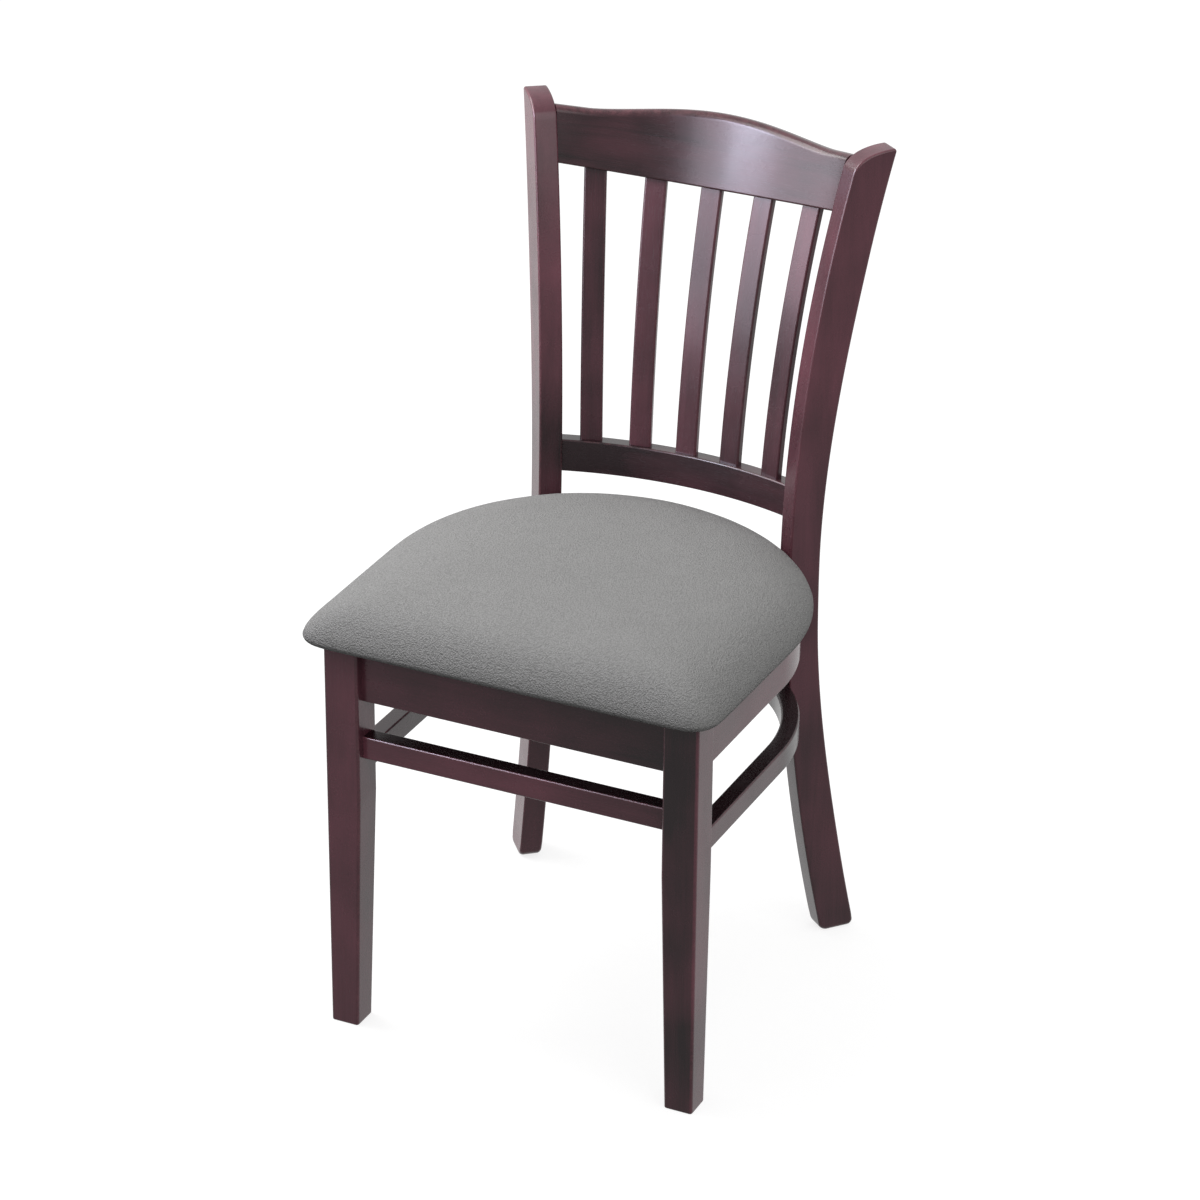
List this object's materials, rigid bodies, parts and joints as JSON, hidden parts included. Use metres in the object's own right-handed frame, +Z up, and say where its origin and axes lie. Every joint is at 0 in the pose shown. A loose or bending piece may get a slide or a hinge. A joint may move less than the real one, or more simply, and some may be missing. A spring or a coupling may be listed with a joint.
{
  "type": "slat-back side chair",
  "caption": "Stained wooden side chair with a slatted back under a humped crest rail, a round-backed upholstered seat, bent seat apron and stretcher, tapered front legs and swept rear posts.",
  "frame": {"origin": "floor level, at the centre of the rectangle that holds the chair seen from above", "axes": "+Z up, +X to the right of a person who faces the chair's front, -Y towards the front of the seat"},
  "size_m": [0.456, 0.5272, 0.8762],
  "materials": {
    "stained_wood": "dark red-brown stain under satin lacquer, fine straight grain",
    "inner_wood": "bare pale hardwood and plywood",
    "foam": "matt open-cell foam",
    "grey_vinyl": "grey upholstery vinyl with a fine pebbled grain, low sheen",
    "dust_cloth": "black non-woven cloth, matt",
    "screw_steel": "zinc-plated"
  },
  "bodies": {
    "root": {"front_leg_left": "stained_wood", "front_leg_right": "stained_wood", "rear_post_left": "stained_wood", "rear_post_right": "stained_wood", "front_apron": "stained_wood", "seat_apron_hoop": "stained_wood", "front_stretcher": "stained_wood", "stretcher_hoop": "stained_wood", "lower_back_rail": "stained_wood", "crest_rail": "stained_wood", "back_slat_1": "stained_wood", "back_slat_2": "stained_wood", "back_slat_3": "stained_wood", "back_slat_4": "stained_wood", "back_slat_5": "stained_wood", "corner_block_left": "inner_wood", "corner_block_right": "inner_wood", "rear_seat_cleat": "inner_wood", "seat_board": "inner_wood", "apron_dowels": "inner_wood", "hoop_dowels": "inner_wood", "stretcher_dowels": "inner_wood", "crest_dowels": "inner_wood", "rail_dowels": "inner_wood", "seat_foam": "foam", "seat_cover": "grey_vinyl", "dust_cover": "dust_cloth", "post_screws": "screw_steel", "block_screws": "screw_steel", "seat_screws": "screw_steel"}
  },
  "joints": []
}
